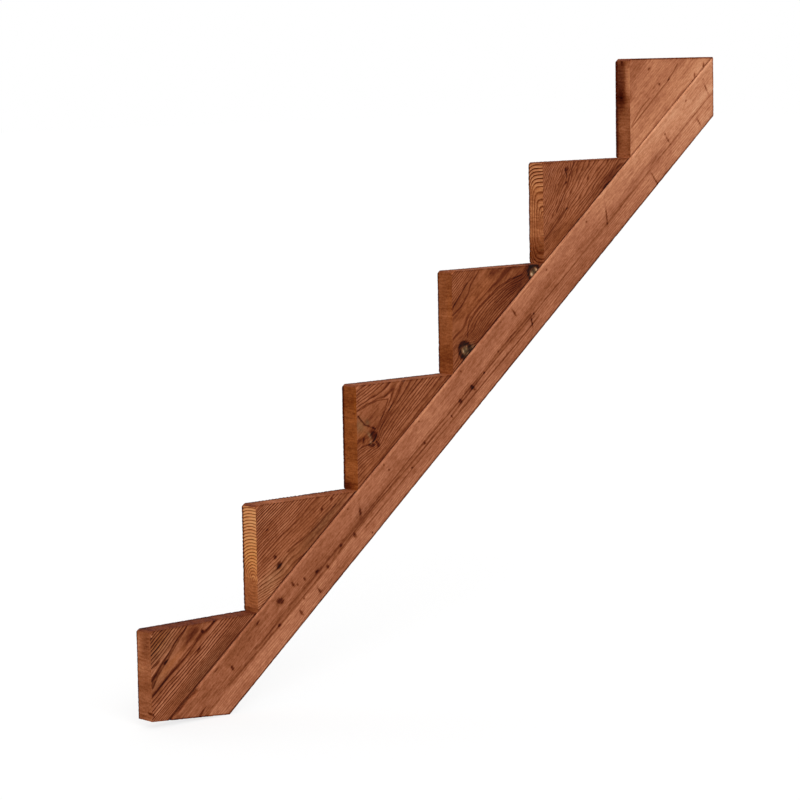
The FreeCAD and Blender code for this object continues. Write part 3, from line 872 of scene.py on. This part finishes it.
            (257.5, 6, 4, 5.5, 0.62, 0, 0), (272.5, 5, 2.6, 4.5, 0.6, 0, 0),
        ),
        "riser_patches": (
            (0, 20, 40, 26, -0.08, 0.3, 0), (-12, 95, 8, 30, 0.02, 0.4, 0), (0, 135, 40, 18, -0.04, 0, 0),
        ),
        "stains": (
            ((66, 82), (91.5, 79), (119, 85.5), (134, 94), (164, 99.5)),
            ((69, 90.5), (94, 95.5), (131, 102.5)),
            ((69, 27), (80, 40), (94, 49), (120, 49.5), (144, 48), (181, 45.5), (215, 35), (240, 22)),
        ),
        "knots": ((49, 13, 16, 19, 0, 60, 0.22), (265, 6, 16, 16, 0, 60, 0.2)),
        "bare": ((49, 12, 11, 13, 1), (64, 6, 8, 6, 0.6), (265, 5, 11, 11, 1)),
        "relief": 0.03,
    },
    {
        "drawn": (
            ((0, 2, 0), (150, 4, 0), (293, 14, 0)),
            ((0, 16, 3.5), (100, 18, 3.5), (169, 20.5, 3.5), (251, 30, 3.5), (293, 36, 3.5)),
            ((0, 20, 5.2), (100, 25, 5.2), (149, 29, 5.2), (239, 40, 5.2), (293, 46, 5.2)),
            ((0, 24, 7), (60, 30, 7), (134, 39, 7), (219, 54, 7), (293, 64, 7)),
            ((0, 31, 9.5), (54, 38, 9.5), (89, 44, 9.5), (134, 53, 9.5), (194, 69, 9.5), (293, 92, 9.5)),
            ((0, 38, 12), (54, 46, 12), (84, 53, 12), (111, 60.5, 12), (139, 70.5, 12), (149, 78, 12),
             (169, 88, 12), (179, 91, 12), (293, 114, 12)),
            ((0, 53, 17), (41, 65.5, 17), (69, 73, 17), (101, 85.5, 17), (140, 100, 17), (200, 118, 17),
             (293, 140, 17)),
            ((0, 88, 25.5), (80, 115, 25.5), (112, 126, 25.5), (150, 138, 25.5), (293, 175, 25.5)),
            ((0, 122, 34), (293, 230, 34)),
        ),
        "swell": 2.6,
        "bow": 4,
        "wave": 0.3,
        "heart": (
            ((0, 42), (48, 59), (100, 76), (150, 88), (293, 108)), -21, 1.2, 4.5, 3.75, (3.6, 5, 44),
        ),
        "face": (0.385, 0.25, 0.23),
        "riser": (0.47, 0.9, 0.36),
        "riser_rim": 3.5,
        "tread": (0.31, 0.5, 0.06),
        "tread_rim": 13,
        "patches": (
            (225, 6, 60, 12, -0.155, -0.3, -0.05), (70, 12, 60, 15, -0.08, 0.3, -0.2),
            (150, 94, 16, 7, -0.05, -0.4, 0), (120, 118, 14, 9, -0.03, -0.4, 0),
        ),
        "riser_patches": (
            (0, 16, 40, 20, -0.15, 0, -0.16), (0, 1, 40, 6, -0.08, -0.4, 0),
            (-3, 102, 16, 9, 0.07, 0.2, -0.1), (-12, 45, 14, 22, 0, 0, -0.3),
            (0, 128, 40, 14, -0.04, -0.2, 0.2), (12, 60, 10, 34, 0.02, 0, -0.14),
        ),
        "stains": (
            ((84, 52), (111, 60.5), (139, 70.5), (149, 78), (169, 88), (179, 90.5)),
            ((24, 32), (70, 35), (109, 38)),
        ),
        "knots": (
            (153, 94.5, 3.4, 3, 30, 12), (148, 88, 1.4, 6, -30), (138, 75.5, 2.6, 1.8),
            (109, 38, 2.6, 1.5),
        ),
        "bare": (),
        "relief": 0.45,
    },
    {
        "drawn": (
            ((0, 0, 0), (293, 4, 0)),
            ((0, 42, 9), (104, 45, 9), (209, 53, 9), (293, 58, 9)),
            ((0, 90, 18), (293, 96, 18)),
            ((0, 142, 28), (293, 146, 28)),
        ),
        "swell": 0.5,
        "bow": 8,
        "wave": 0.25,
        "face": (0.525, 0.15, 0.045),
        "riser": (0.35, 0.5, 0.02),
        "riser_rim": 8,
        "tread": (0.31, 0.5, 0.06),
        "tread_rim": 8,
        "patches": (
            (240, 8, 60, 14, 0.12, 0, 0), (60, 8, 60, 10, 0.06, 0, 0), (110, 115, 55, 24, -0.105, 0, 0),
            (72, 92, 8, 16, -0.09, 0.1, 0),
        ),
        "riser_patches": (
            (3.5, 86, 10, 16, -0.20, 0, 0), (7, 112, 11, 29, -0.10, -1.2, 0),
            (-18, 112, 6, 32, 0.21, 0.1, 0), (-10, 116, 4.5, 26, 0.15, 0.1, 0),
            (2, 139, 2.5, 5, -0.2, 0, 0), (-5, 32, 13, 35, 0.08, 0.1, 0), (14, 60, 5, 60, -0.06, 0, 0),
        ),
        "stains": (
            ((39, 42), (104, 45), (166, 45.5), (184, 48), (209, 53.5)),
            ((39, 44), (59, 49), (79, 53), (111, 52.5)),
        ),
        "knots": (
            (143, 95.5, 3.4, 2.2), (146.5, 55.5, 2.4, 2.8), (231, 6, 1.8, 5, -35), (263, 6, 4, 2, 40),
            (172, 46, 3, 1.6), (221, 2, 3, 1.4),
        ),
        "bare": (),
        "relief": 0.05,
    },
)

for step, block in enumerate(BLOCKS, start=1):
    start = first_cut if step == 1 else riser_cut(step)
    end = tread_cut(step)
    width = BLOCK_WIDTH + block["swell"]
    shape = sawn_board(0, width, start, end, BLOCK_GRID)
    points = shape[0]
    own = points - np.array(((step - 1) * PITCH, 0, 0))
    s, y, w = own.T
    waver = ripple(points, (70, 40, 16), 50 + step)
    face_ring = drawn_rings(own, block["drawn"], block["bow"]) + block["wave"] * waver
    cut_ring = face_ring
    if "heart" in block:
        cut_ring = heart_rings(own, block["heart"]) + HEART_WAVER * waver
    knot = knot_reach(own, (*block["knots"], *back_knots(5, 60, 230, 8, 70, 80 + step)))
    bare = np.zeros(len(s))
    for *place, share in block["bare"]:
        bare += share * spot(s, w, *place)
    tone = face_tone(s, w, block["face"], block["patches"])
    tread_gap = (tread_cut(1)(w) - s) * math.sin(SLOPE)
    # Painted shade in the groove along the joint with the rail
    tone[:, 0] -= (TOP_JOINT_SHADE if step == STEPS else JOINT_SHADE) * smooth(w, 5, 2)
    tone[:, 0] -= (TOP_TREAD_DARKER if step == STEPS else TREAD_DARKER) * smooth(tread_gap, 3.5, 1)
    # The flat at the nose is darkened as painted shade, to hold down the key light it catches
    nose = smooth(w, width - 2, width - 0.5)[:, None]
    tone = (1 - nose) * tone + nose * np.array(NOSE_SHADED_TONE)
    marks = {
        "rings": (face_ring, cut_ring, cut_ring),
        "knot": knot,
        "bare": bare.clip(0, 1),
        "lines": stain_lines(own, block["stains"]),
        "tones": (
            tone,
            cut_tone(own, block["riser"], block["riser_patches"], block["riser_rim"]),
            cut_tone(own, block["tread"], (), block["tread_rim"]),
        ),
        "shift": dressed_shift(points, 0, width, start, end, cut_ring, knot, block["relief"], 60 + 5 * step),
    }
    make_board(f"step_block_{step}", shape, marks, dressed_block)

# Coated steel of the screws: a dull green-brown lacquer, with bare grey where the driver rubbed
RUB_SIZE = 3
material, tree = new_material("lacquered_steel_screw")
place = add_node(tree, "ShaderNodeTexCoord").outputs["Object"]
rub = add_node(tree, "ShaderNodeTexNoise", {
    "Vector": place, "Scale": 1 / (RUB_SIZE * MM), "Detail": 3.0,
}).outputs["Fac"]
lacquer = add_node(tree, "ShaderNodeValToRGB", {"Fac": rub}, stops=(
    (0.35, "#4b4a36"), (0.6, "#6a6448"), (0.75, "#8d8a80"),
)).outputs["Color"]
shader = add_node(tree, "ShaderNodeBsdfPrincipled", {
    "Base Color": lacquer, "Metallic": 0.6, "Roughness": 0.45,
}).outputs["BSDF"]
add_node(tree, "ShaderNodeOutputMaterial", {"Surface": shader})
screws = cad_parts["block_screws"]
screws.data.materials.clear()
screws.data.materials.append(material)


# Studio

def seen_directly(tree):
    """1 where the camera, a reflection or a view through glass meets the surface, and 0 for its light."""
    rays = add_node(tree, "ShaderNodeLightPath").outputs
    seen = rays["Is Camera Ray"]
    for name in ("Is Glossy Ray", "Is Transmission Ray"):
        seen = add_node(tree, "ShaderNodeMath", {0: seen, 1: rays[name]}, operation="MAXIMUM").outputs[0]
    return seen


# Pale floor: part of its white is its own for the camera, so the object's shadow stays faint
FLOOR_REACH = 30
FLOOR_GREY = 0.25
FLOOR_GLOW = 0.77
material, tree = new_material("pale_studio_floor")
glow = add_node(tree, "ShaderNodeMath", {
    0: seen_directly(tree), 1: FLOOR_GLOW,
}, operation="MULTIPLY").outputs[0]
shader = add_node(tree, "ShaderNodeBsdfPrincipled", {
    "Base Color": (FLOOR_GREY, FLOOR_GREY, FLOOR_GREY, 1), "Roughness": 1.0, "Specular IOR Level": 0.0,
    "Emission Color": (1, 1, 1, 1), "Emission Strength": glow,
}).outputs["BSDF"]
add_node(tree, "ShaderNodeOutputMaterial", {"Surface": shader})
floor_corners = [
    (x * FLOOR_REACH, y * FLOOR_REACH, cad_low.z) for x, y in ((-1, -1), (1, -1), (1, 1), (-1, 1))]
floor_mesh = bpy.data.meshes.new("floor")
floor_mesh.from_pydata(floor_corners, [], [(0, 1, 2, 3)])
floor_mesh.materials.append(material)
floor = bpy.data.objects.new("floor", floor_mesh)
bpy.context.scene.collection.objects.link(floor)

# Even world light, white where the camera or a reflection sees it
WORLD_STRENGTH = 0.45
world = bpy.data.worlds.new("studio")
bpy.context.scene.world = world
world.use_nodes = True
tree = world.node_tree
tree.nodes.clear()
strength = add_node(tree, "ShaderNodeMapRange", {
    "Value": seen_directly(tree), "To Min": WORLD_STRENGTH, "To Max": 1.0,
}).outputs["Result"]
sky = add_node(tree, "ShaderNodeBackground", {
    "Color": (1, 1, 1, 1), "Strength": strength,
}).outputs["Background"]
add_node(tree, "ShaderNodeOutputWorld", {"Surface": sky})

# Soft key from the upper front left, a softer fill on the risers, and a low light on the hidden side
for name, towards, power, spread in (
    ("key", (-0.35, -0.8, 0.55), 1.6, 40),
    ("fill", (-0.8, -0.45, 0.25), 1.3, 80),
    ("back", (0.5, 0.8, 0.3), 1.3, 80),
):
    lamp = bpy.data.lights.new(name, "SUN")
    lamp.energy = power
    lamp.angle = math.radians(spread)
    light = bpy.data.objects.new(name, lamp)
    light.rotation_mode = "QUATERNION"
    light.rotation_quaternion = Vector(towards).to_track_quat("Z", "Y")
    bpy.context.scene.collection.objects.link(light)

# Camera of the photograph: place in millimetres, angles in degrees, focal length in pixels of its frame
CAMERA_PLACE = (-2931.4, -3973.3, 1111.2)
CAMERA_YAW = math.radians(41.429)
CAMERA_PITCH = math.radians(-6.756)
CAMERA_ROLL = math.radians(0.96)
FOCAL_PIXELS = 3021.9
FRAME_PIXELS = 800
ahead = Vector((
    math.sin(CAMERA_YAW) * math.cos(CAMERA_PITCH),
    math.cos(CAMERA_YAW) * math.cos(CAMERA_PITCH),
    math.sin(CAMERA_PITCH),
))
level = Vector((math.cos(CAMERA_YAW), -math.sin(CAMERA_YAW), 0))
down = ahead.cross(level)
right = math.cos(CAMERA_ROLL) * level + math.sin(CAMERA_ROLL) * down
below = math.cos(CAMERA_ROLL) * down - math.sin(CAMERA_ROLL) * level
lens = bpy.data.cameras.new("camera")
lens.sensor_width = 36
lens.lens = FOCAL_PIXELS / FRAME_PIXELS * lens.sensor_width
camera = bpy.data.objects.new("camera", lens)
camera.matrix_world = Matrix((
    (right.x, -below.x, -ahead.x, CAMERA_PLACE[0] * MM),
    (right.y, -below.y, -ahead.y, CAMERA_PLACE[1] * MM),
    (right.z, -below.z, -ahead.z, CAMERA_PLACE[2] * MM),
    (0, 0, 0, 1),
))
bpy.context.scene.collection.objects.link(camera)
bpy.context.scene.camera = camera
bpy.context.scene.view_settings.view_transform = "Standard"
